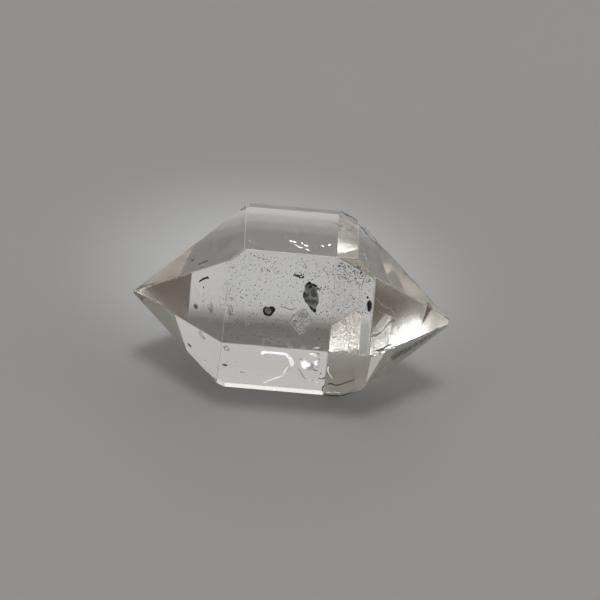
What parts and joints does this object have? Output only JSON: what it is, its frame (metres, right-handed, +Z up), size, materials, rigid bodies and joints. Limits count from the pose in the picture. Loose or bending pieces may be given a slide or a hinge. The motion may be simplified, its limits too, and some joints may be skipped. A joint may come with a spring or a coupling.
{
  "type": "herkimer diamond",
  "caption": "Clear doubly terminated quartz crystal: a short six-sided prism with a six-faced point at each end, lying on one flat prism face.",
  "frame": {"origin": "on the surface the crystal lies on, under the middle of its box", "axes": "+X along the crystal's c axis, towards the point that is at the right in the picture; +Y towards the back; +Z up"},
  "size_m": [0.0226, 0.013, 0.0118],
  "materials": {
    "clear_quartz": "clear natural quartz with bright, slightly etched crystal faces and fresh shell-shaped chips on its edges",
    "dark_inclusion": "dull black to dark grey specks and flakes of solid hydrocarbon (anthraxolite) sealed under the faces",
    "healed_crack": "pearly, silvery film of a healed crack, with tiny bubbles, inside the crystal"
  },
  "bodies": {
    "root": {"quartz_crystal": "clear_quartz"}
  },
  "joints": []
}
